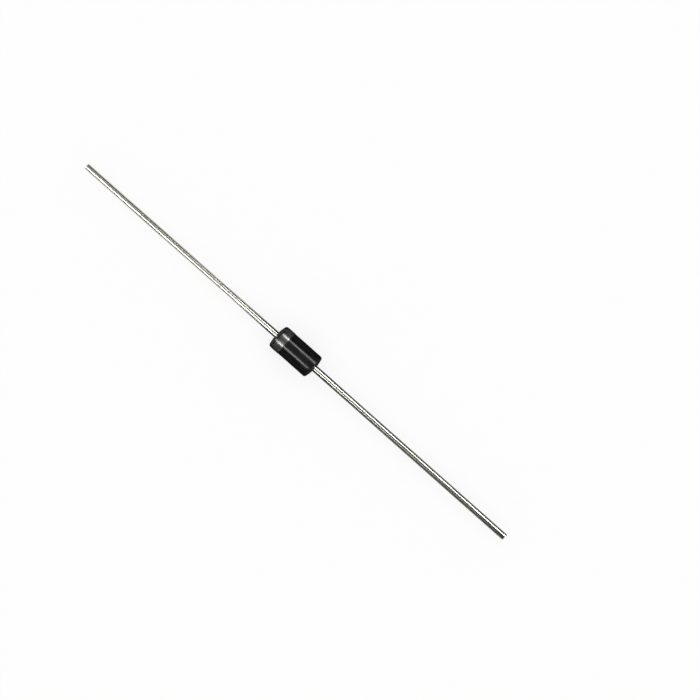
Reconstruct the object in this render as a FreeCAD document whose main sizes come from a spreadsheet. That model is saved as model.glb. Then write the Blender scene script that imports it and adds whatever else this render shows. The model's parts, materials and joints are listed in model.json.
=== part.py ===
import FreeCAD, Part
import os
import Sketcher

# Axial rectifier diode in a moulded case, with a wire lead out of each end.
# Millimetres. X runs along the leads with the cathode, the ringed end, at +X. Z is up.
# The origin is the centre of the moulded body.

doc = FreeCAD.newDocument("AxialRectifierDiode")

# Driving dimensions. Each one is a cell of the sheet, under its own name.
sizes = {
    # moulded body
    "body_length": "5.2",
    "body_diameter": "2.64",
    "corner_radius": "0.25",
    "crown_radius": "4.3",
    "seam_height": "0.015",
    "seam_width": "0.06",
    # printed cathode ring
    "band_margin": "0.41",
    "band_width": "0.98",
    "band_thickness": "0.025",
    # wire leads, each with an upset head like a nail's
    "wire_diameter": "0.71",
    "lead_length": "25.85",
    "tip_chamfer": "0.05",
    "shank_swell": "0.05",
    "head_diameter": "1.5",
    "head_thickness": "0.3",
    "rim_height": "0.06",
    "head_fillet": "0.18",
    # silicon chip and its solder
    "chip_side": "1.05",
    "chip_thickness": "0.25",
    "mesa_depth": "0.06",
    "solder_thickness": "0.05",
    "solder_margin": "0.03",
    "solder_flare": "0.06",
    # rubber bead round the junction
    "bead_height": "0.2",
}

sheet = doc.addObject("Spreadsheet::Sheet", "Sizes")
for row, (alias, number) in enumerate(sizes.items(), start=1):
    sheet.set(f"A{row}", alias)
    sheet.set(f"B{row}", number)
    sheet.setAlias(f"B{row}", alias)
doc.recompute()

# Formulas that more than one piece shares.
wire_radius = "(Sizes.wire_diameter / 2)"
head_radius = "(Sizes.head_diameter / 2)"
chip_face = "(Sizes.chip_thickness / 2)"
head_face = f"({chip_face} + Sizes.solder_thickness)"
head_back = f"({head_face} + Sizes.head_thickness)"
body_end = "(Sizes.body_length / 2)"
crown_drop = f"(Sizes.crown_radius - sqrt(Sizes.crown_radius ^ 2 - {wire_radius} ^ 2))"
wire_exit = f"({body_end} - {crown_drop})"
mesa_side = "(Sizes.chip_side - 2 * Sizes.mesa_depth)"
solder_radius = f"({mesa_side} / 2 - Sizes.solder_margin)"

# How a sketch counts: the first point, last point and centre of an edge, then its own axes and origin.
FIRST, LAST, CENTRE = range(1, 4)
X_AXIS = -1
Y_AXIS = X_AXIS - 1
ORIGIN = (X_AXIS, FIRST)


def amount(formula):
    """The number that a formula on the sheet gives now."""
    return float(sheet.evalExpression(formula))


def new_body(name):
    return doc.addObject("PartDesign::Body", name)


def origin_plane(body, role):
    return next(item for item in body.Origin.OriginFeatures if item.Role == role)


def new_sketch(body, name, role="XY_Plane"):
    sketch = body.newObject("Sketcher::SketchObject", name)
    sketch.AttachmentSupport = [(origin_plane(body, role), "")]
    sketch.MapMode = "FlatFace"
    return sketch


def add_line(sketch, start, end):
    line = Part.LineSegment(FreeCAD.Vector(*start, 0), FreeCAD.Vector(*end, 0))
    return sketch.addGeometry(line, False)


def add_arc(sketch, centre, start, end):
    """An arc about a centre, anticlockwise from one point to another."""
    middle = FreeCAD.Vector(*centre, 0)
    spokes = [FreeCAD.Vector(*point, 0) - middle for point in (start, end)]
    from_x = FreeCAD.Vector(1, 0, 0)
    turns = [spoke.getAngle(from_x) * (1 if spoke.y >= 0 else -1) for spoke in spokes]
    circle = Part.Circle(middle, FreeCAD.Vector(0, 0, 1), spokes[0].Length)
    return sketch.addGeometry(Part.ArcOfCircle(circle, *turns), False)


def relate(sketch, kind, *places):
    sketch.addConstraint(Sketcher.Constraint(kind, *places))


def dimension(sketch, name, kind, places, formula):
    """A named dimension of a sketch, bound to a formula on the sheet."""
    index = sketch.addConstraint(Sketcher.Constraint(kind, *places, amount(formula)))
    sketch.renameConstraint(index, name)
    sketch.setExpression(f"Constraints.{name}", formula)


def revolve(body, name, sketch):
    feature = body.newObject("PartDesign::Revolution", name)
    feature.Profile = sketch
    feature.ReferenceAxis = (sketch, ["H_Axis"])
    feature.Angle = 360
    sketch.Visibility = False
    return feature


def half_outline(body, name, growth):
    """Half of the moulding's outline, grown all round: crown, corner, side, corner, crown."""
    end_x = f"({body_end} + {growth})"
    side_y = f"(Sizes.body_diameter / 2 + {growth})"
    corner = f"(Sizes.corner_radius + {growth})"
    crown = f"(Sizes.crown_radius + {growth})"
    end, side, small, large = (amount(formula) for formula in (end_x, side_y, corner, crown))
    crown_x = end - large
    corner_y = side - small
    corner_x = crown_x + ((large - small) ** 2 - corner_y ** 2) ** 0.5
    reach = large / (large - small)
    meet_x = crown_x + (corner_x - crown_x) * reach
    meet_y = corner_y * reach

    sketch = new_sketch(body, name)
    axis = add_line(sketch, (-end, 0), (end, 0))
    right_crown = add_arc(sketch, (crown_x, 0), (end, 0), (meet_x, meet_y))
    right_corner = add_arc(sketch, (corner_x, corner_y), (meet_x, meet_y), (corner_x, side))
    top = add_line(sketch, (corner_x, side), (-corner_x, side))
    left_corner = add_arc(sketch, (-corner_x, corner_y), (-corner_x, side), (-meet_x, meet_y))
    left_crown = add_arc(sketch, (-crown_x, 0), (-meet_x, meet_y), (-end, 0))
    relate(sketch, "Coincident", axis, LAST, right_crown, FIRST)
    relate(sketch, "Tangent", right_crown, LAST, right_corner, FIRST)
    relate(sketch, "Tangent", right_corner, LAST, top, FIRST)
    relate(sketch, "Tangent", top, LAST, left_corner, FIRST)
    relate(sketch, "Tangent", left_corner, LAST, left_crown, FIRST)
    relate(sketch, "Coincident", left_crown, LAST, axis, FIRST)
    relate(sketch, "Horizontal", top)
    relate(sketch, "Symmetric", axis, FIRST, axis, LAST, *ORIGIN)
    relate(sketch, "PointOnObject", axis, LAST, X_AXIS)
    relate(sketch, "PointOnObject", right_crown, CENTRE, X_AXIS)
    relate(sketch, "PointOnObject", left_crown, CENTRE, X_AXIS)
    relate(sketch, "Equal", right_crown, left_crown)
    relate(sketch, "Equal", right_corner, left_corner)
    dimension(sketch, "end_x", "DistanceX", (*ORIGIN, axis, LAST), end_x)
    dimension(sketch, "side_y", "DistanceY", (*ORIGIN, top, FIRST), side_y)
    dimension(sketch, "corner", "Radius", (right_corner,), corner)
    dimension(sketch, "crown", "Radius", (right_crown,), crown)
    return sketch


def moulding(name, growth):
    """The moulding's outer form, grown all round, with the fine seam where its two mould halves met."""
    body = new_body(name)
    revolve(body, f"{name}_turned", half_outline(body, f"{name}_outline", growth))
    seam = body.newObject("PartDesign::Pad", f"{name}_seam")
    seam.Profile = half_outline(body, f"{name}_seam_outline", f"{growth} + Sizes.seam_height")
    seam.setExpression("Length", f"Sizes.seam_width + 2 * ({growth})")
    seam.Midplane = True
    both_sides = body.newObject("PartDesign::Mirrored", f"{name}_seam_both")
    both_sides.Originals = [seam]
    both_sides.MirrorPlane = (origin_plane(body, "XZ_Plane"), [""])
    body.Tip = both_sides
    return body


def lead(name, turn):
    """One lead: upset head, fillet, shank that swells towards the head, and the wire to its cut tip."""
    face, back, exit_x = amount(head_face), amount(head_back), amount(wire_exit)
    tip_x = f"({body_end} + Sizes.lead_length)"
    neck_y = f"({wire_radius} + Sizes.shank_swell)"
    tip, neck = amount(tip_x), amount(neck_y)
    wire, head = amount(wire_radius), amount(head_radius)
    bulge, fillet = amount("Sizes.rim_height"), amount("Sizes.head_fillet")
    chamfer = amount("Sizes.tip_chamfer")
    flat = head - bulge
    half = (back - face) / 2
    rim_radius = (half ** 2 + bulge ** 2) / (2 * bulge)
    rim_centre = ((face + back) / 2, head - rim_radius)
    fillet_centre = (back + fillet, neck + fillet)

    body = new_body(name)
    sketch = new_sketch(body, f"{name}_profile")
    axis = add_line(sketch, (face, 0), (tip, 0))
    cut_end = add_line(sketch, (tip, 0), (tip, wire - chamfer))
    cut_edge = add_line(sketch, (tip, wire - chamfer), (tip - chamfer, wire))
    wire_side = add_line(sketch, (tip - chamfer, wire), (exit_x, wire))
    shank_side = add_line(sketch, (exit_x, wire), (back + fillet, neck))
    under_fillet = add_arc(sketch, fillet_centre, (back, neck + fillet), (back + fillet, neck))
    under_head = add_line(sketch, (back, neck + fillet), (back, flat))
    rim = add_arc(sketch, rim_centre, (back, flat), (face, flat))
    front = add_line(sketch, (face, flat), (face, 0))
    relate(sketch, "Coincident", axis, LAST, cut_end, FIRST)
    relate(sketch, "Coincident", cut_end, LAST, cut_edge, FIRST)
    relate(sketch, "Coincident", cut_edge, LAST, wire_side, FIRST)
    relate(sketch, "Coincident", wire_side, LAST, shank_side, FIRST)
    relate(sketch, "Coincident", shank_side, LAST, under_fillet, LAST)
    relate(sketch, "Coincident", under_fillet, FIRST, under_head, FIRST)
    relate(sketch, "Coincident", under_head, LAST, rim, FIRST)
    relate(sketch, "Coincident", rim, LAST, front, FIRST)
    relate(sketch, "Coincident", front, LAST, axis, FIRST)
    relate(sketch, "Horizontal", wire_side)
    relate(sketch, "Vertical", cut_end)
    relate(sketch, "Vertical", under_head)
    relate(sketch, "Vertical", front)
    relate(sketch, "PointOnObject", axis, FIRST, X_AXIS)
    relate(sketch, "PointOnObject", axis, LAST, X_AXIS)
    relate(sketch, "Horizontal", under_head, LAST, front, FIRST)
    dimension(sketch, "face_x", "DistanceX", (*ORIGIN, axis, FIRST), head_face)
    dimension(sketch, "back_x", "DistanceX", (*ORIGIN, under_head, FIRST), head_back)
    dimension(sketch, "exit_x", "DistanceX", (*ORIGIN, wire_side, LAST), wire_exit)
    dimension(sketch, "tip_x", "DistanceX", (*ORIGIN, axis, LAST), tip_x)
    dimension(sketch, "wire_y", "DistanceY", (*ORIGIN, wire_side, FIRST), wire_radius)
    dimension(sketch, "chamfer_x", "DistanceX", (wire_side, FIRST, cut_end, LAST), "Sizes.tip_chamfer")
    dimension(sketch, "chamfer_y", "DistanceY", (cut_end, LAST, wire_side, FIRST), "Sizes.tip_chamfer")
    dimension(sketch, "neck_y", "DistanceY", (*ORIGIN, shank_side, LAST), neck_y)
    dimension(sketch, "fillet_x", "DistanceX", (under_fillet, FIRST, under_fillet, LAST), "Sizes.head_fillet")
    dimension(sketch, "fillet_y", "DistanceY", (under_fillet, LAST, under_fillet, FIRST), "Sizes.head_fillet")
    dimension(sketch, "fillet_radius", "Radius", (under_fillet,), "Sizes.head_fillet")
    dimension(sketch, "flat_y", "DistanceY", (*ORIGIN, front, FIRST), f"{head_radius} - Sizes.rim_height")
    rim_formula = "((Sizes.head_thickness / 2) ^ 2 + Sizes.rim_height ^ 2) / (2 * Sizes.rim_height)"
    dimension(sketch, "rim_radius", "Radius", (rim,), rim_formula)
    revolve(body, f"{name}_turned", sketch)
    body.Placement = FreeCAD.Placement(FreeCAD.Vector(), FreeCAD.Rotation(FreeCAD.Vector(0, 0, 1), turn))
    return body


def silicon_chip(name):
    """The square chip, with the bevel that is etched round its anode face."""
    body = new_body(name)
    sketch = new_sketch(body, f"{name}_square", "YZ_Plane")
    half = amount("Sizes.chip_side") / 2
    corners = [(-half, -half), (half, -half), (half, half), (-half, half)]
    sides = [add_line(sketch, corners[i], corners[(i + 1) % 4]) for i in range(4)]
    for i in range(4):
        relate(sketch, "Coincident", sides[i], LAST, sides[(i + 1) % 4], FIRST)
        relate(sketch, "Horizontal" if i % 2 == 0 else "Vertical", sides[i])
    relate(sketch, "Symmetric", sides[0], FIRST, sides[2], FIRST, *ORIGIN)
    dimension(sketch, "width", "DistanceX", (sides[0], FIRST, sides[0], LAST), "Sizes.chip_side")
    dimension(sketch, "height", "DistanceY", (sides[1], FIRST, sides[1], LAST), "Sizes.chip_side")
    pad = body.newObject("PartDesign::Pad", f"{name}_wafer")
    pad.Profile = sketch
    pad.setExpression("Length", "Sizes.chip_thickness")
    pad.Midplane = True
    doc.recompute()
    anode_face = min(enumerate(pad.Shape.Faces, start=1), key=lambda item: item[1].CenterOfMass.x)
    bevel = body.newObject("PartDesign::Chamfer", f"{name}_mesa")
    bevel.Base = (pad, [f"Face{anode_face[0]}"])
    bevel.setExpression("Size", "Sizes.mesa_depth")
    return body


def solder(name, side):
    """A thin disc of solder that flares onto the head of the lead. Side is 1 or -1 along X."""
    disc = doc.addObject("Part::Cone", name)
    disc.setExpression("Radius1", solder_radius)
    disc.setExpression("Radius2", f"{solder_radius} + Sizes.solder_flare")
    disc.setExpression("Height", "Sizes.solder_thickness")
    disc.Placement = FreeCAD.Placement(
        FreeCAD.Vector(), FreeCAD.Rotation(FreeCAD.Vector(0, 0, 1), FreeCAD.Vector(side, 0, 0))
    )
    disc.setExpression("Placement.Base.x", f"{side} * {chip_face}")
    return disc


def bead_form(name):
    """The rubber bead's barrel, from the rim of one head to the rim of the other."""
    edge_x = f"({head_face} + Sizes.head_thickness / 2)"
    edge, rim, bulge = amount(edge_x), amount(head_radius), amount("Sizes.bead_height")
    radius = (edge ** 2 + bulge ** 2) / (2 * bulge)
    body = new_body(name)
    sketch = new_sketch(body, f"{name}_profile")
    axis = add_line(sketch, (-edge, 0), (edge, 0))
    right = add_line(sketch, (edge, 0), (edge, rim))
    barrel = add_arc(sketch, (0, rim + bulge - radius), (edge, rim), (-edge, rim))
    left = add_line(sketch, (-edge, rim), (-edge, 0))
    relate(sketch, "Coincident", axis, LAST, right, FIRST)
    relate(sketch, "Coincident", right, LAST, barrel, FIRST)
    relate(sketch, "Coincident", barrel, LAST, left, FIRST)
    relate(sketch, "Coincident", left, LAST, axis, FIRST)
    relate(sketch, "Symmetric", axis, FIRST, axis, LAST, *ORIGIN)
    relate(sketch, "PointOnObject", axis, LAST, X_AXIS)
    relate(sketch, "Vertical", right)
    relate(sketch, "Vertical", left)
    relate(sketch, "PointOnObject", barrel, CENTRE, Y_AXIS)
    dimension(sketch, "edge_x", "DistanceX", (*ORIGIN, axis, LAST), edge_x)
    dimension(sketch, "rim_y", "DistanceY", (right, FIRST, right, LAST), head_radius)
    barrel_formula = f"({edge_x} ^ 2 + Sizes.bead_height ^ 2) / (2 * Sizes.bead_height)"
    dimension(sketch, "barrel", "Radius", (barrel,), barrel_formula)
    revolve(body, f"{name}_turned", sketch)
    return body


def ring_slab(name):
    """The stretch of the body that the ring is printed on, as a slab across it."""
    slab = doc.addObject("Part::Box", name)
    slab.setExpression("Length", "Sizes.band_width")
    slab.setExpression("Width", "2 * Sizes.body_diameter")
    slab.setExpression("Height", "2 * Sizes.body_diameter")
    slab.setExpression("Placement.Base.x", f"{body_end} - Sizes.band_margin - Sizes.band_width")
    slab.setExpression("Placement.Base.y", "-Sizes.body_diameter")
    slab.setExpression("Placement.Base.z", "-Sizes.body_diameter")
    return slab


def fuse(name, pieces):
    feature = doc.addObject("Part::MultiFuse", name)
    feature.Shapes = pieces
    return feature


def cut(name, base, tool):
    feature = doc.addObject("Part::Cut", name)
    feature.Base = base
    feature.Tool = tool
    return feature


# Leads, chip and solder: the stack that is soldered together first.
cathode_lead = lead("cathode_lead", 0)
anode_lead = lead("anode_lead", 180)
chip = silicon_chip("silicon_chip")
cathode_solder = solder("cathode_solder", 1)
anode_solder = solder("anode_solder", -1)
stack = [cathode_lead, anode_lead, chip, cathode_solder, anode_solder]

# The rubber bead is flowed round the soldered joint, and closes on the rims of both heads.
soldered_stack = fuse("soldered_stack", stack)
bead = cut("junction_coating", bead_form("bead_form"), soldered_stack)

# The case is moulded round everything, so its cavity is exactly what it holds.
case_form = moulding("case_form", "0")
core = fuse("moulded_core", [soldered_stack, bead])
case = cut("moulded_body", case_form, core)

# The ring is a skin of ink on the finished case.
ink_form = moulding("ink_form", "Sizes.band_thickness")
ink_ring = doc.addObject("Part::Common", "ink_ring")
ink_ring.Base = ink_form
ink_ring.Tool = ring_slab("ring_slab")
band = cut("cathode_band", ink_ring, case_form)

pieces = {
    "moulded_body": case,
    "cathode_lead": cathode_lead,
    "anode_lead": anode_lead,
    "silicon_chip": chip,
    "cathode_solder": cathode_solder,
    "anode_solder": anode_solder,
    "junction_coating": bead,
    "cathode_band": band,
}
for node, piece in pieces.items():
    piece.Label = node
doc.recompute()

# Nothing is written unless every feature is sound.
for item in doc.Objects:
    if "Invalid" in item.State or "Error" in item.State:
        raise RuntimeError(f"{item.Name} did not build: {item.State}")
for node, piece in pieces.items():
    if piece.Shape.isNull() or not piece.Shape.isValid():
        raise RuntimeError(f"{node} has no valid shape")

os.makedirs("parts", exist_ok=True)
for node, piece in pieces.items():
    piece.Shape.exportStep(f"parts/{node}.step")
    box = piece.Shape.BoundBox
    print(
        f"{node}: {len(piece.Shape.Solids)} solid, {piece.Shape.Volume:.4f} mm3,"
        f" x {box.XMin:.3f} to {box.XMax:.3f}, radius {box.ZMax:.3f}"
    )
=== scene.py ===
import json
import math
import bpy
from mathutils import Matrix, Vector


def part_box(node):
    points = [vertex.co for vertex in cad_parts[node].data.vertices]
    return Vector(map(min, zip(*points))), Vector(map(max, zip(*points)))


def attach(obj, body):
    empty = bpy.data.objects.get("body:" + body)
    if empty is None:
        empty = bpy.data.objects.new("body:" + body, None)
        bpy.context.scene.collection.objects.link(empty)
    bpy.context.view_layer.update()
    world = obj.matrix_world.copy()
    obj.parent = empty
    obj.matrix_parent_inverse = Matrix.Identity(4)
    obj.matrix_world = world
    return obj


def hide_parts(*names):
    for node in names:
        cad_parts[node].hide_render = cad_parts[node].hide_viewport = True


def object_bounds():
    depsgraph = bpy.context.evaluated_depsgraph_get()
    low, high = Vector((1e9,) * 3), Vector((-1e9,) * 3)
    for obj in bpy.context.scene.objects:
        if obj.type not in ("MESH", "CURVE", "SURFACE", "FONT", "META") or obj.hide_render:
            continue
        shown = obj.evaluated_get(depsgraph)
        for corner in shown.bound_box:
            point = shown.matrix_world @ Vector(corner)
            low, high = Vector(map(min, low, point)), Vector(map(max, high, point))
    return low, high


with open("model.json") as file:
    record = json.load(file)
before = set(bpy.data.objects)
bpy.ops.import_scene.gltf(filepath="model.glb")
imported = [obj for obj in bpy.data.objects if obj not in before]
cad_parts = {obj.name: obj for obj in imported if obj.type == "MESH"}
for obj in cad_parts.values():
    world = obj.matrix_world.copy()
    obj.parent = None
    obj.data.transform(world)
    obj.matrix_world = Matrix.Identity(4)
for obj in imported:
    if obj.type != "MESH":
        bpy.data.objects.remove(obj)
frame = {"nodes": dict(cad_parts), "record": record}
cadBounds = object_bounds()
print("frame loaded:", ", ".join(sorted(frame["nodes"])))

# Axial rectifier diode. X runs along the leads, the ringed cathode end is at +X, Z is up.
mm = 0.001  # lengths below are written in millimetres and used in metres
tiny = 0.0001 * mm
joinReach = 0.001 * mm  # points nearer to each other than this are merged
smoothAngle = math.radians(35)  # edges sharper than this stay crisp

# places and sizes that the frame gives; a round piece reaches its full radius along Y
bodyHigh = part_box("moulded_body")[1]
bandLow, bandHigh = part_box("cathode_band")
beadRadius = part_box("junction_coating")[1].y
leadLow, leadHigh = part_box("cathode_lead")
wireRadius = frame["record"]["mounts"][0]["dims"]["r_mm"] * mm


# camera: straight above, with a long lens, at the photograph's scale

photoView = {
    "imageWidth": 700,
    "pixelsPerMillimetre": 9.84,
    "bodyCentre": (295.6, 351.61),  # pixels from the top left
    "leadSlope": 41.6,  # degrees that the leads fall towards the right
    "lens": 135,
    "sensor": 36,
    "nearClip": 10,
}


def placeCamera():
    camera = bpy.data.objects.new("camera", bpy.data.cameras.new("camera"))
    bpy.context.collection.objects.link(camera)
    camera.data.lens = photoView["lens"]
    camera.data.sensor_width = photoView["sensor"]
    camera.data.clip_start = photoView["nearClip"] * mm
    scale = photoView["pixelsPerMillimetre"] / mm
    middle = photoView["imageWidth"] / 2
    turn = math.radians(photoView["leadSlope"] - 180)
    right = (math.cos(turn), math.sin(turn))
    up = (-math.sin(turn), math.cos(turn))
    alongRight = (middle - photoView["bodyCentre"][0]) / scale
    alongUp = (photoView["bodyCentre"][1] - middle) / scale
    camera.location = (
        alongRight * right[0] + alongUp * up[0],
        alongRight * right[1] + alongUp * up[1],
        photoView["imageWidth"] / scale * photoView["lens"] / photoView["sensor"],
    )
    camera.rotation_euler = (0, 0, turn)
    bpy.context.scene.camera = camera
    bpy.context.scene.view_settings.view_transform = "Standard"


placeCamera()
print("camera placed")


# small helpers for meshes and materials

def deselectAll():
    if bpy.context.mode != "OBJECT":
        bpy.ops.object.mode_set(mode="OBJECT")
    bpy.ops.object.select_all(action="DESELECT")


def activate(piece):
    deselectAll()
    piece.select_set(True)
    bpy.context.view_layer.objects.active = piece


def arcPoints(centre, radius, fromDegrees, toDegrees, steps):
    # points along an arc in the plane of X and radius
    points = []
    for step in range(steps + 1):
        angle = math.radians(fromDegrees + (toDegrees - fromDegrees) * step / steps)
        points.append((centre[0] + radius * math.cos(angle), centre[1] + radius * math.sin(angle)))
    return points


def linePoints(start, end, steps):
    # points along a straight run, both ends included
    shares = [step / steps for step in range(steps + 1)]
    return [(start[0] + (end[0] - start[0]) * s, start[1] + (end[1] - start[1]) * s) for s in shares]


def mirrored(points):
    return [(-x, radius) for x, radius in reversed(points)]


def turnPiece(name, outline, segments):
    # draws the outline point by point, then spins it round the X axis; a point is (x, radius)
    deselectAll()
    bpy.ops.mesh.primitive_plane_add(size=mm, location=(outline[0][0], 0, outline[0][1]))
    piece = bpy.context.object
    piece.name = piece.data.name = name
    bpy.ops.object.transform_apply(location=True, rotation=True, scale=True)
    bpy.ops.object.mode_set(mode="EDIT")
    bpy.ops.mesh.select_mode(type="VERT")
    bpy.ops.mesh.select_all(action="SELECT")
    bpy.ops.mesh.merge(type="CENTER")
    for here, there in zip(outline, outline[1:]):
        step = (there[0] - here[0], 0, there[1] - here[1])
        if max(map(abs, step)) > tiny:
            bpy.ops.mesh.extrude_region_move(TRANSFORM_OT_translate={"value": step})
    bpy.ops.mesh.select_all(action="SELECT")
    bpy.ops.mesh.remove_doubles(threshold=joinReach)  # closes an outline that ends where it began
    bpy.ops.mesh.spin(steps=segments, angle=math.tau, center=(0, 0, 0), axis=(1, 0, 0))
    bpy.ops.mesh.select_all(action="SELECT")
    bpy.ops.mesh.remove_doubles(threshold=joinReach)
    bpy.ops.mesh.normals_make_consistent(inside=False)
    bpy.ops.object.mode_set(mode="OBJECT")
    return piece


def selectWhere(piece, wanted):
    # selects vertices by place and leaves the piece in edit mode
    activate(piece)
    bpy.ops.object.mode_set(mode="EDIT")
    bpy.ops.mesh.select_mode(type="VERT")
    bpy.ops.mesh.select_all(action="DESELECT")
    bpy.ops.object.mode_set(mode="OBJECT")
    for vertex in piece.data.vertices:
        vertex.select = wanted(vertex.co)
    bpy.ops.object.mode_set(mode="EDIT")


def roughen(piece, depth, grainSize, direction, group=""):
    # pushes the surface about by a soft cloud pattern, to take off the computed perfection
    activate(piece)
    clouds = bpy.data.textures.new(piece.name + "Clouds", "CLOUDS")
    clouds.noise_scale = grainSize * mm
    bpy.ops.object.modifier_add(type="DISPLACE")
    push = piece.modifiers[-1]
    push.texture = clouds
    push.strength = depth * mm
    push.mid_level = 0.5  # as far out as in
    push.direction = direction
    push.vertex_group = group
    bpy.ops.object.modifier_apply(modifier=push.name)


def dressPiece(piece, materials, node):
    activate(piece)
    bpy.ops.object.shade_smooth_by_angle(angle=smoothAngle)
    for material in materials:
        piece.data.materials.append(material)
    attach(piece, "root")
    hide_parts(node)


def toLinear(hexColour):
    # by the standard sRGB curve
    channels = [int(hexColour[i:i + 2], 16) / 255 for i in (1, 3, 5)]
    return [c / 12.92 if c <= 0.04045 else ((c + 0.055) / 1.055) ** 2.4 for c in channels] + [1]


def addNode(tree, kind, settings=None, inputs=None):
    # adds a node; an input is a plain value or the output that feeds it
    node = tree.nodes.new(kind)
    for name, value in (settings or {}).items():
        setattr(node, name, value)
    for name, value in (inputs or {}).items():
        if isinstance(value, bpy.types.NodeSocket):
            tree.links.new(value, node.inputs[name])
        else:
            node.inputs[name].default_value = value
    return node


def startMaterial(name, **fixed):
    # a Principled material whose whole-surface values sit on the shader's own sockets
    material = bpy.data.materials.new(name)
    material.use_nodes = True
    shader = material.node_tree.nodes["Principled BSDF"]
    for socket, value in fixed.items():
        shader.inputs[socket].default_value = value
    place = addNode(material.node_tree, "ShaderNodeTexCoord").outputs["Object"]
    return material, material.node_tree, shader, place


def noiseOf(tree, place, size, detail=2.0):
    # noise with features of about this size, one value or one for each axis, in millimetres
    sizes = size if isinstance(size, tuple) else (size, size, size)
    scale = [1 / (axisSize * mm) for axisSize in sizes]
    spot = addNode(tree, "ShaderNodeMapping", None, {"Vector": place, "Scale": scale}).outputs[0]
    inputs = {"Vector": spot, "Scale": 1.0, "Detail": detail}
    return addNode(tree, "ShaderNodeTexNoise", None, inputs).outputs["Fac"]


def spread(tree, value, low, high, fromLow=0.3, fromHigh=0.7):
    # stretches noise, which stays near the middle, over a range
    return addNode(tree, "ShaderNodeMapRange", None, {
        "Value": value, "From Min": fromLow, "From Max": fromHigh, "To Min": low, "To Max": high,
    }).outputs[0]


def combine(tree, operation, *values):
    # a Math node on plain numbers or outputs
    return addNode(tree, "ShaderNodeMath", {"operation": operation}, dict(enumerate(values))).outputs[0]


def axisOf(tree, vector, axis):
    return addNode(tree, "ShaderNodeSeparateXYZ", None, {"Vector": vector}).outputs[axis]


colourMix = {"factor": 0, "first": 6, "second": 7, "result": 2}  # a Mix node's sockets for colours


def blendColours(tree, factor, first, second):
    # first and second are hex colours or outputs
    mix = addNode(tree, "ShaderNodeMix", {"data_type": "RGBA"}, {colourMix["factor"]: factor})
    for name, colour in (("first", first), ("second", second)):
        socket = mix.inputs[colourMix[name]]
        if isinstance(colour, str):
            socket.default_value = toLinear(colour)
        else:
            tree.links.new(colour, socket)
    return mix.outputs[colourMix["result"]]


def addBump(tree, shader, height, depth):
    bump = addNode(tree, "ShaderNodeBump", None, {"Height": height, "Distance": depth * mm})
    tree.links.new(bump.outputs[0], shader.inputs["Normal"])


# moulded body: one shot of epoxy round the soldered leads, with its true cavity inside

bodyShape = {
    "segments": 256,
    "crownRadius": 4.3,  # the ends are slightly domed
    "cornerRadius": 0.25,
    "crownSteps": 10,
    "cornerSteps": 10,
    "sideSteps": 8,
    "seamHeight": 0.015,  # fine ridge where the two mould halves met
    "endSlant": 2.0,  # degrees that both ends lean, as the photographed body's do
    "dark": "#050505",
    "light": "#0c0c0c",
    "speck": "#262626",
    "speckSize": 0.1,  # silica filler grains are about 0.03, drawn coarser to show
    "speckDetail": 0.0,
    "speckLimits": (0.7, 0.8),  # only the noise's peaks become specks
    "cloudSize": 0.9,
    "cloudDetail": 3.0,
    "ior": 1.5,
    "roughness": (0.17, 0.3),
    "grainSize": 0.06,  # fine spark-eroded texture of the mould
    "grainDepth": 0.001,
}

leadShape = {
    "segments": 96,
    "headThickness": 0.3,  # the head is upset like a nail's
    "headBulge": 0.06,
    "headFillet": 0.18,
    "shankSwell": 0.05,
    "arcSteps": 8,
    "wireSteps": 52,
    "tipBevel": 0.05,
    "tipRun": 10,  # the last run has finer steps and is this many bevels long
    "tipSteps": 6,
    "tipTilt": 4.0,  # degrees that the shears leave the end out of square
    "tipPinch": 0.97,  # they also press it a little flat, in three steps
    "pinchReach": (0.45, 0.25, 0.12),
    "waveDepth": 0.006,  # slight unevenness from drawing and straightening
    "waveSize": 3.0,
    "bright": "#ecebe1",
    "dull": "#b9b8ae",
    "roughness": (0.14, 0.22),
    "lineAcross": 0.14,  # die lines are about 0.02 apart, drawn coarser to show
    "lineAlong": 9.0,
    "lineDetail": 3.0,
    "lineDepth": 0.0006,
    "patchAlong": 6.0,
    "patchAcross": 0.5,
    "patchLimits": (0.4, 0.75),  # from bright tin to a dull patch
}

seam = bodyShape["seamHeight"] * mm
bodyRadius = bodyHigh.y - seam
crown = bodyShape["crownRadius"] * mm
exitX = bodyHigh.x - seam  # where the wire leaves the body
crownX = exitX - math.sqrt(crown ** 2 - wireRadius ** 2)
cornerLevel = bodyRadius - bodyShape["cornerRadius"] * mm
cornerX = crownX + math.sqrt((crown - bodyShape["cornerRadius"] * mm) ** 2 - cornerLevel ** 2)
headRadius = leadHigh.y
headFace = leadLow.x
headBack = headFace + leadShape["headThickness"] * mm
headMiddle = (headFace + headBack) / 2
neckRadius = wireRadius + leadShape["shankSwell"] * mm
fillet = leadShape["headFillet"] * mm
headSteps = leadShape["arcSteps"]


def bulgeArc(middleX, foot, halfWidth, bulge):
    # centre, radius and half angle of a shallow arc that stands this far above its foot
    radius = (halfWidth ** 2 + bulge ** 2) / (2 * bulge)
    return (middleX, foot + bulge - radius), radius, math.degrees(math.asin(halfWidth / radius))


def rimOutline():
    # over the head's bulged rim, from its face to its back
    bulge = leadShape["headBulge"] * mm
    halfWidth = (headBack - headFace) / 2
    centre, radius, halfAngle = bulgeArc(headMiddle, headRadius - bulge, halfWidth, bulge)
    return arcPoints(centre, radius, 90 + halfAngle, 90 - halfAngle, headSteps)


def shankOutline():
    # round the fillet behind the head and along the thinning shank to the wire's exit
    centre = (headBack + fillet, neckRadius + fillet)
    return arcPoints(centre, fillet, -180, -90, headSteps) + [(exitX, wireRadius)]


def halfBeadOutline():
    # the rubber bead's barrel, from its middle to the rim of the head
    centre, radius, halfAngle = bulgeArc(0, headRadius, headMiddle, beadRadius - headRadius)
    return arcPoints(centre, radius, 90, 90 - halfAngle, headSteps)


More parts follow.
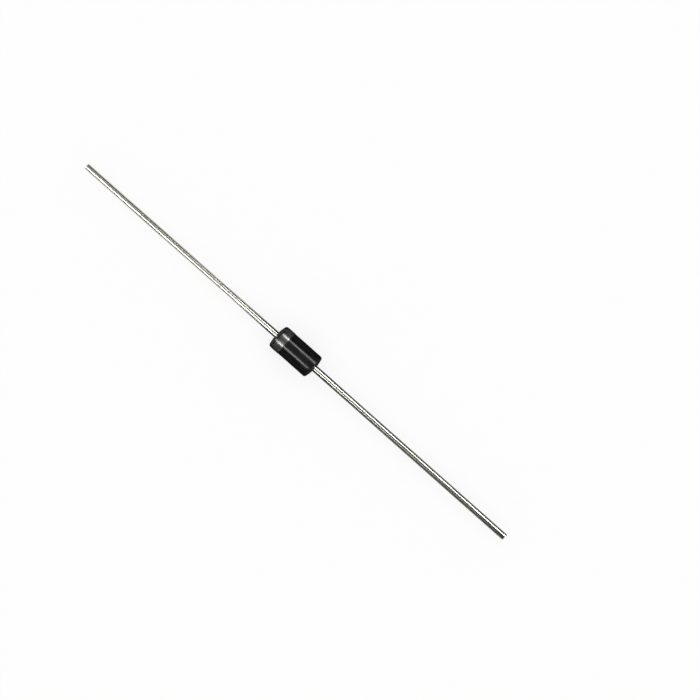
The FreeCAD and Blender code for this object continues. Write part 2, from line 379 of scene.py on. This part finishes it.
def endOutline():
    # from the wire's exit over the crown and the corner to the start of the side
    start = math.degrees(math.asin(wireRadius / crown))
    meet = math.degrees(math.atan2(cornerLevel, cornerX - crownX))
    points = arcPoints((crownX, 0), crown, start, meet, bodyShape["crownSteps"])
    corner = bodyRadius - cornerLevel
    return points + arcPoints((cornerX, cornerLevel), corner, meet, 90, bodyShape["cornerSteps"])


def onOutside(place):
    # true on the body's skin, false in the cavity, which narrows behind each head
    radius = math.hypot(place.y, place.z)
    return radius > beadRadius + tiny or (abs(place.x) > headBack + 2 * fillet and radius > neckRadius)


def blackMouldedEpoxy():
    # epoxy moulding compound, transfer moulded: black satin gloss, faint clouds, tiny pale filler specks
    material, tree, shader, place = startMaterial("blackMouldedEpoxy", IOR=bodyShape["ior"])
    clouds = noiseOf(tree, place, bodyShape["cloudSize"], bodyShape["cloudDetail"])
    specks = noiseOf(tree, place, bodyShape["speckSize"], bodyShape["speckDetail"])
    base = blendColours(tree, spread(tree, clouds, 0, 1), bodyShape["dark"], bodyShape["light"])
    speckShare = spread(tree, specks, 0, 1, *bodyShape["speckLimits"])
    base = blendColours(tree, speckShare, base, bodyShape["speck"])
    tree.links.new(base, shader.inputs["Base Color"])
    tree.links.new(spread(tree, clouds, *bodyShape["roughness"]), shader.inputs["Roughness"])
    addBump(tree, shader, noiseOf(tree, place, bodyShape["grainSize"]), bodyShape["grainDepth"])
    return material


def makeBody():
    end = endOutline()
    flank = linePoints(end[-1], (0, bodyRadius), bodyShape["sideSteps"])
    cavity = halfBeadOutline() + rimOutline()[headSteps // 2 + 1:] + shankOutline()
    half = cavity + end[1:] + flank[1:]
    body = turnPiece("epoxyBody", half + mirrored(half)[1:], bodyShape["segments"])
    selectWhere(body, lambda place: abs(place.z) < tiny and onOutside(place))
    bpy.ops.transform.shrink_fatten(value=seam)
    slant = math.radians(bodyShape["endSlant"])
    for side in (1, -1):
        selectWhere(body, lambda place: place.x * side > cornerX + tiny)
        bpy.ops.transform.rotate(value=slant, orient_axis="Z", center_override=(side * cornerX, 0, 0))
    dressPiece(body, [blackMouldedEpoxy()], "moulded_body")
    return body


body = makeBody()
print("body moulded:", len(body.data.polygons), "faces")


# leads: drawn copper wire, tinned, each with its upset head buried in the body

cutLook = {
    "fresh": "#c98d6c",
    "scored": "#9c6448",
    "scoreSize": (0.2, 0.5, 0.03),
    "scoreDepth": 0.004,
    "roughness": (0.25, 0.5),
    "facing": 0.9,  # a tip's faces that look this much along X are the cut
}


def drawnTinnedCopper():
    # bright tin on drawn copper: warm white metal, fine lines along the wire, dull handled patches
    material, tree, shader, place = startMaterial("drawnTinnedCopper", Metallic=1.0)
    across, along = leadShape["lineAcross"], leadShape["lineAlong"]
    lines = noiseOf(tree, place, (along, across, across), leadShape["lineDetail"])
    across, along = leadShape["patchAcross"], leadShape["patchAlong"]
    patches = noiseOf(tree, place, (along, across, across))
    dullness = spread(tree, patches, 0, 1, *leadShape["patchLimits"])
    base = blendColours(tree, dullness, leadShape["bright"], leadShape["dull"])
    tree.links.new(base, shader.inputs["Base Color"])
    tree.links.new(spread(tree, patches, *leadShape["roughness"]), shader.inputs["Roughness"])
    addBump(tree, shader, lines, leadShape["lineDepth"])
    return material


def shearedCopper():
    # bare copper where the wire was cut: salmon metal, with score lines across the face
    material, tree, shader, place = startMaterial("shearedCopper", Metallic=1.0)
    scores = noiseOf(tree, place, cutLook["scoreSize"])
    base = blendColours(tree, spread(tree, scores, 0, 1), cutLook["fresh"], cutLook["scored"])
    tree.links.new(base, shader.inputs["Base Color"])
    tree.links.new(spread(tree, scores, *cutLook["roughness"]), shader.inputs["Roughness"])
    addBump(tree, shader, scores, cutLook["scoreDepth"])
    return material


def makeLead(name):
    tip, bevel = leadHigh.x, leadShape["tipBevel"] * mm
    runStart = (tip - leadShape["tipRun"] * bevel, wireRadius)
    outline = [(headFace, 0)] + rimOutline() + shankOutline()
    outline += linePoints((exitX, wireRadius), runStart, leadShape["wireSteps"])[1:]
    outline += linePoints(runStart, (tip - bevel, wireRadius), leadShape["tipSteps"])[1:]
    outline += [(tip, wireRadius - bevel), (tip, 0)]
    lead = turnPiece(name, outline, leadShape["segments"])
    for reach in leadShape["pinchReach"]:
        selectWhere(lead, lambda place: place.x > tip - reach * mm)
        bpy.ops.transform.resize(value=(1, 1, leadShape["tipPinch"]))
    tilt = math.radians(leadShape["tipTilt"])
    selectWhere(lead, lambda place: place.x > tip - bevel - tiny)
    bpy.ops.transform.rotate(value=tilt, orient_axis="Z", center_override=(tip, 0, 0))
    bpy.ops.transform.translate(value=(-wireRadius * math.sin(tilt), 0, 0))
    deselectAll()
    return lead


def turnedCopy(piece, name):
    # a copy with its own mesh, turned half round to the other end
    activate(piece)
    bpy.ops.object.duplicate()
    twin = bpy.context.object
    twin.name = twin.data.name = name
    bpy.ops.transform.rotate(value=math.pi, orient_axis="Z", center_override=(0, 0, 0))
    bpy.ops.object.transform_apply(location=True, rotation=True, scale=True)
    return twin


def makeLeads():
    cathodeLead = makeLead("cathodeWire")
    leads = {"cathode_lead": cathodeLead, "anode_lead": turnedCopy(cathodeLead, "anodeWire")}
    materials = [drawnTinnedCopper(), shearedCopper()]
    for node, lead in leads.items():
        roughen(lead, leadShape["waveDepth"], leadShape["waveSize"], "NORMAL")
        dressPiece(lead, materials, node)
        for face in lead.data.polygons:
            atTip = abs(face.center.x) > leadHigh.x - leadShape["tipBevel"] * mm
            isCut = atTip and abs(face.normal.x) > cutLook["facing"]
            face.material_index = 1 if isCut else 0
    return leads


leads = makeLeads()
print("leads drawn:", sum(len(lead.data.polygons) for lead in leads.values()), "faces")


# cathode ring: silver ink rolled on round the body

bandShape = {
    "segments": 256,
    "widthSteps": 14,
    "edgeRound": 0.01,
    "edgeRounding": 3,
    "edgeRagged": 0.05,  # how far the printed edge wanders
    "raggedSize": 0.3,
    "metallic": 0.93,
    "silver": "#929290",
    "thin": "#616160",
    "worn": "#2e2e2e",
    "wornReach": 0.35,  # the ink thins out over this much of its outer edge
    "wornLeast": 0.2,
    "flakeSize": 0.08,  # aluminium flakes are about 0.02, drawn coarser to show
    "flakeDetail": 1.0,
    "patchSize": 0.5,
    "patchLimits": (0.35, 0.8),  # from full ink to a thin spot
    "roughness": (0.22, 0.31),
    "filmDepth": 0.003,
}


def silverPrintedInk():
    # silver ink: metal flakes in a clear binder, printed by a roller, so grainy, satin and thin in spots
    material, tree, shader, place = startMaterial("silverPrintedInk", Metallic=bandShape["metallic"])
    flakes = noiseOf(tree, place, bandShape["flakeSize"], bandShape["flakeDetail"])
    patches = noiseOf(tree, place, bandShape["patchSize"])
    thinness = spread(tree, patches, 0, 1, *bandShape["patchLimits"])
    base = blendColours(tree, thinness, bandShape["silver"], bandShape["thin"])
    wornStart = bandHigh.x - bandShape["wornReach"] * mm
    edge = spread(tree, axisOf(tree, place, "X"), 0, 1, wornStart, bandHigh.x)
    wear = combine(tree, "MULTIPLY", edge, spread(tree, patches, bandShape["wornLeast"], 1))
    base = blendColours(tree, wear, base, bandShape["worn"])
    tree.links.new(base, shader.inputs["Base Color"])
    tree.links.new(spread(tree, flakes, *bandShape["roughness"]), shader.inputs["Roughness"])
    addBump(tree, shader, flakes, bandShape["filmDepth"])
    return material


def makeBand():
    ragged = bandShape["edgeRagged"] * mm / 2
    low, high = bandLow.x + ragged, bandHigh.x - ragged
    outer, edge = bandHigh.z, bandShape["edgeRound"] * mm
    steps = bandShape["edgeRounding"]
    outline = [(low, bodyRadius)]
    outline += arcPoints((low + edge, outer - edge), edge, 180, 90, steps)
    outline += linePoints((low + edge, outer), (high - edge, outer), bandShape["widthSteps"])[1:]
    outline += arcPoints((high - edge, outer - edge), edge, 90, 0, steps)[1:]
    outline += linePoints((high, bodyRadius), (low, bodyRadius), bandShape["widthSteps"])
    band = turnPiece("silverInkRing", outline, bandShape["segments"])
    for side in (1, -1):  # the ink follows the seam under it
        selectWhere(band, lambda place: abs(place.z) < tiny and place.y * side > 0)
        bpy.ops.transform.translate(value=(0, side * seam, 0))
    deselectAll()
    edges = band.vertex_groups.new(name="edges")
    atEdge = [v.index for v in band.data.vertices if not low + 2 * edge < v.co.x < high - 2 * edge]
    edges.add(atEdge, 1.0, "REPLACE")
    roughen(band, 2 * bandShape["edgeRagged"], bandShape["raggedSize"], "X", edges.name)
    dressPiece(band, [silverPrintedInk()], "cathode_band")
    return band


band = makeBand()
print("ring printed:", len(band.data.polygons), "faces")


# what the body hides: the chip, its solder and the rubber bead keep their frame shapes

siliconLook = {
    "colours": ("#5d636d", "#777d86"),
    "metallic": 0.6,
    "grainSize": 0.03,
    "grainDepth": 0.001,
    "roughness": (0.45, 0.06),  # sawn sides, then polished faces
    "facing": (0.5, 0.9),  # how far along X the sides and the faces look
}

solderLook = {
    "colours": ("#b9bbbf", "#8f9196"),
    "crystalSize": 0.08,
    "crystalDetail": 4.0,
    "crystalDepth": 0.002,
    "roughness": (0.3, 0.55),
}

rubberLook = {
    "colours": ("#dcd8cd", "#c9c3b4"),
    "ior": 1.41,
    "lumpSize": 0.25,
    "lumpDepth": 0.008,
    "roughness": (0.35, 0.55),
}


def polishedSilicon():
    # silicon: dark blue-grey and mirror smooth on its faces, frosted on its sawn sides
    material, tree, shader, place = startMaterial("polishedSilicon", Metallic=siliconLook["metallic"])
    sawn = noiseOf(tree, place, siliconLook["grainSize"])
    outward = axisOf(tree, addNode(tree, "ShaderNodeTexCoord").outputs["Normal"], "X")
    flat = combine(tree, "ABSOLUTE", outward)
    tree.links.new(blendColours(tree, sawn, *siliconLook["colours"]), shader.inputs["Base Color"])
    roughness = spread(tree, flat, *siliconLook["roughness"], *siliconLook["facing"])
    tree.links.new(roughness, shader.inputs["Roughness"])
    addBump(tree, shader, sawn, siliconLook["grainDepth"])
    return material


def softSolder():
    # high-lead solder, melted and frozen: dull grey metal with a fine crystal pattern
    material, tree, shader, place = startMaterial("softSolder", Metallic=1.0)
    crystals = noiseOf(tree, place, solderLook["crystalSize"], solderLook["crystalDetail"])
    tree.links.new(blendColours(tree, crystals, *solderLook["colours"]), shader.inputs["Base Color"])
    tree.links.new(spread(tree, crystals, *solderLook["roughness"]), shader.inputs["Roughness"])
    addBump(tree, shader, crystals, solderLook["crystalDepth"])
    return material


def siliconeRubberBead():
    # silicone rubber, flowed on and cured: milky, soft sheen, slightly lumpy
    material, tree, shader, place = startMaterial("siliconeRubberBead", IOR=rubberLook["ior"])
    lumps = noiseOf(tree, place, rubberLook["lumpSize"])
    tree.links.new(blendColours(tree, lumps, *rubberLook["colours"]), shader.inputs["Base Color"])
    tree.links.new(spread(tree, lumps, *rubberLook["roughness"]), shader.inputs["Roughness"])
    addBump(tree, shader, lumps, rubberLook["lumpDepth"])
    return material


def dressNode(node, material):
    mesh = frame["nodes"][node].data
    if mesh.materials:
        mesh.materials[0] = material
    else:
        mesh.materials.append(material)


solderMaterial = softSolder()
dressNode("silicon_chip", polishedSilicon())
dressNode("cathode_solder", solderMaterial)
dressNode("anode_solder", solderMaterial)
dressNode("junction_coating", siliconeRubberBead())
print("inner pieces finished")


# floor and light: a pale table under a white sky, and two long strip lamps for the photograph's streaks

studio = {
    "floorSize": 2000,
    "paper": ("#fafafa", "#f7f7f6"),
    "paperRoughness": 0.9,
    "fibreSize": 2.0,
    "fibreDetail": 4.0,
    "skyColour": "#ffffff",
    "sky": 1.0,
    "shadowFill": 0.8,  # share of the floor that shows plain white, so the shadow stays light
    "stripAngle": {1: 36.5, -1: 40.0},  # degrees from the vertical, where both streaks put the lamps
    "stripDistance": 350,
    "stripEnds": {1: (2, 350), -1: (-350, 20)},  # each lamp lights one lead more than the other
    "stripWidth": 60,
    "stripGlow": {1: 2.6, -1: 1.8},  # watts for a metre of lamp, brighter on the +Y side
    "tentRadius": 420,
    "tentLength": 1400,
    "tentSides": 96,
    "ceiling": 0.37,
    "ceilingFade": (-60, 30),  # it rises from dark along here, so the anode lead mirrors less
    "dark": 0.04,
    "ceilingEdge": 22.0,  # degrees from the vertical where the grey ceiling starts to darken
    "darkEdge": 60.0,
    "endGlow": 0.6,
    "endReach": (180, 400),  # the tent grows pale towards both ends, which shows in slanting views
    "cardSize": 160,
    "cardLift": 0.01,  # above the floor
    "cardGlow": {1: 0.9, -1: 0.2},  # painted reflection: paler below the cathode lead, so that lead's edges mirror pale
    "cardFade": (3.5, 9),  # it turns paler along here, on both sides of the body
}


def layFloor():
    deselectAll()
    bpy.ops.mesh.primitive_plane_add(size=studio["floorSize"] * mm, location=(0, 0, cadBounds[0].z))
    floor = bpy.context.object
    floor.name = "floor"
    # matte paper: faintly fibrous and without any gloss, part of it plain white to the eye
    material, tree, shader, place = startMaterial("matteWhitePaper", Roughness=studio["paperRoughness"])
    fibres = noiseOf(tree, place, studio["fibreSize"], studio["fibreDetail"])
    tree.links.new(blendColours(tree, fibres, *studio["paper"]), shader.inputs["Base Color"])
    shader.inputs["Specular IOR Level"].default_value = 0.0
    rays = addNode(tree, "ShaderNodeLightPath").outputs
    seen = rays["Is Camera Ray"]
    for kind in ("Is Glossy Ray", "Is Transmission Ray"):
        seen = combine(tree, "MAXIMUM", seen, rays[kind])
    share = combine(tree, "MULTIPLY", seen, studio["shadowFill"])
    white = addNode(tree, "ShaderNodeEmission", None, {"Strength": studio["sky"]}).outputs[0]
    mix = addNode(tree, "ShaderNodeMixShader", None, {0: share, 1: shader.outputs[0], 2: white})
    tree.links.new(mix.outputs[0], tree.nodes["Material Output"].inputs["Surface"])
    floor.data.materials.append(material)


def paintSky():
    world = bpy.data.worlds.new("whiteSky")
    world.use_nodes = True
    background = world.node_tree.nodes["Background"]
    background.inputs["Color"].default_value = toLinear(studio["skyColour"])
    background.inputs["Strength"].default_value = studio["sky"]
    bpy.context.scene.world = world


def hangStrip(side):
    angle = math.radians(studio["stripAngle"][side])
    lamp = bpy.data.lights.new(f"strip{side}", "AREA")
    lamp.shape = "RECTANGLE"
    low, high = (end * mm for end in studio["stripEnds"][side])
    lamp.size = high - low
    lamp.size_y = studio["stripWidth"] * mm
    lamp.energy = studio["stripGlow"][side] * lamp.size
    strip = bpy.data.objects.new(lamp.name, lamp)
    bpy.context.collection.objects.link(strip)
    distance = studio["stripDistance"] * mm
    strip.location = ((low + high) / 2, side * distance * math.sin(angle), distance * math.cos(angle))
    strip.rotation_euler = (-side * angle, 0, 0)
    strip.visible_diffuse = False
    strip.visible_camera = False


def glowingMaterial(name, findGlow):
    # an emission material for a reflector; findGlow gives its strength from the node tree and the place
    material = bpy.data.materials.new(name)
    material.use_nodes = True
    material.cycles.emission_sampling = "NONE"
    tree = material.node_tree
    tree.nodes.clear()
    glow = findGlow(tree, addNode(tree, "ShaderNodeTexCoord").outputs["Object"])
    emission = addNode(tree, "ShaderNodeEmission", None, {"Strength": glow})
    addNode(tree, "ShaderNodeOutputMaterial", None, {"Surface": emission.outputs[0]})
    return material


def clothGlow(tree, place):
    # stretched cloth, lit from behind: grey overhead, dark towards the sides, pale at the ends
    towards = addNode(tree, "ShaderNodeVectorMath", {"operation": "NORMALIZE"}, {0: place}).outputs[0]
    height = axisOf(tree, towards, "Z")
    along = axisOf(tree, place, "X")
    fade = (end * mm for end in studio["ceilingFade"])
    ceiling = spread(tree, along, studio["dark"], studio["ceiling"], *fade)
    lowest, highest = (math.cos(math.radians(studio[edge])) for edge in ("darkEdge", "ceilingEdge"))
    glow = spread(tree, height, studio["dark"], ceiling, lowest, highest)
    away = combine(tree, "ABSOLUTE", along)
    ends = spread(tree, away, 0, studio["endGlow"], *(end * mm for end in studio["endReach"]))
    return combine(tree, "MAXIMUM", glow, ends)


def cardGlow(tree, place):
    # glowing card that paints reflections: dark under the body, dim under the anode lead and pale under
    # the cathode lead
    along = axisOf(tree, place, "X")
    near, far = (end * mm for end in studio["cardFade"])
    glows = studio["cardGlow"].items()
    sides = [spread(tree, along, studio["dark"], glow, side * near, side * far) for side, glow in glows]
    return combine(tree, "MAXIMUM", *sides)


def showInGlossOnly(helper):
    for ray in ("camera", "diffuse", "transmission", "shadow", "volume_scatter"):
        setattr(helper, "visible_" + ray, False)


def pitchTent():
    # an arched reflector that only glossy surfaces see
    deselectAll()
    bpy.ops.mesh.primitive_cylinder_add(
        vertices=studio["tentSides"],
        radius=studio["tentRadius"] * mm,
        depth=studio["tentLength"] * mm,
        rotation=(0, math.pi / 2, 0),
    )
    tent = bpy.context.object
    tent.name = "reflectorTent"
    bpy.ops.object.transform_apply(location=True, rotation=True, scale=True)
    bpy.ops.object.mode_set(mode="EDIT")
    bpy.ops.mesh.select_all(action="SELECT")
    bpy.ops.mesh.bisect(plane_co=cadBounds[0], plane_no=(0, 0, 1), clear_inner=True)
    bpy.ops.object.mode_set(mode="OBJECT")
    tent.data.materials.append(glowingMaterial("greyReflectorCloth", clothGlow))
    showInGlossOnly(tent)


def layCard():
    # a card on the floor, so that the body's flanks mirror no white and keep the photograph's dark edges
    deselectAll()
    size, lift = studio["cardSize"] * mm, studio["cardLift"] * mm
    bpy.ops.mesh.primitive_plane_add(size=size, location=(0, 0, cadBounds[0].z + lift))
    card = bpy.context.object
    card.name = "paintedReflectionSheet"
    # its glow paints the reflections: dark in the body's flanks, pale in the cathode lead's edges
    card.data.materials.append(glowingMaterial("paintedReflectionCard", cardGlow))
    showInGlossOnly(card)


layFloor()
paintSky()
hangStrip(1)
hangStrip(-1)
pitchTent()
layCard()
print("studio lit")

deselectAll()
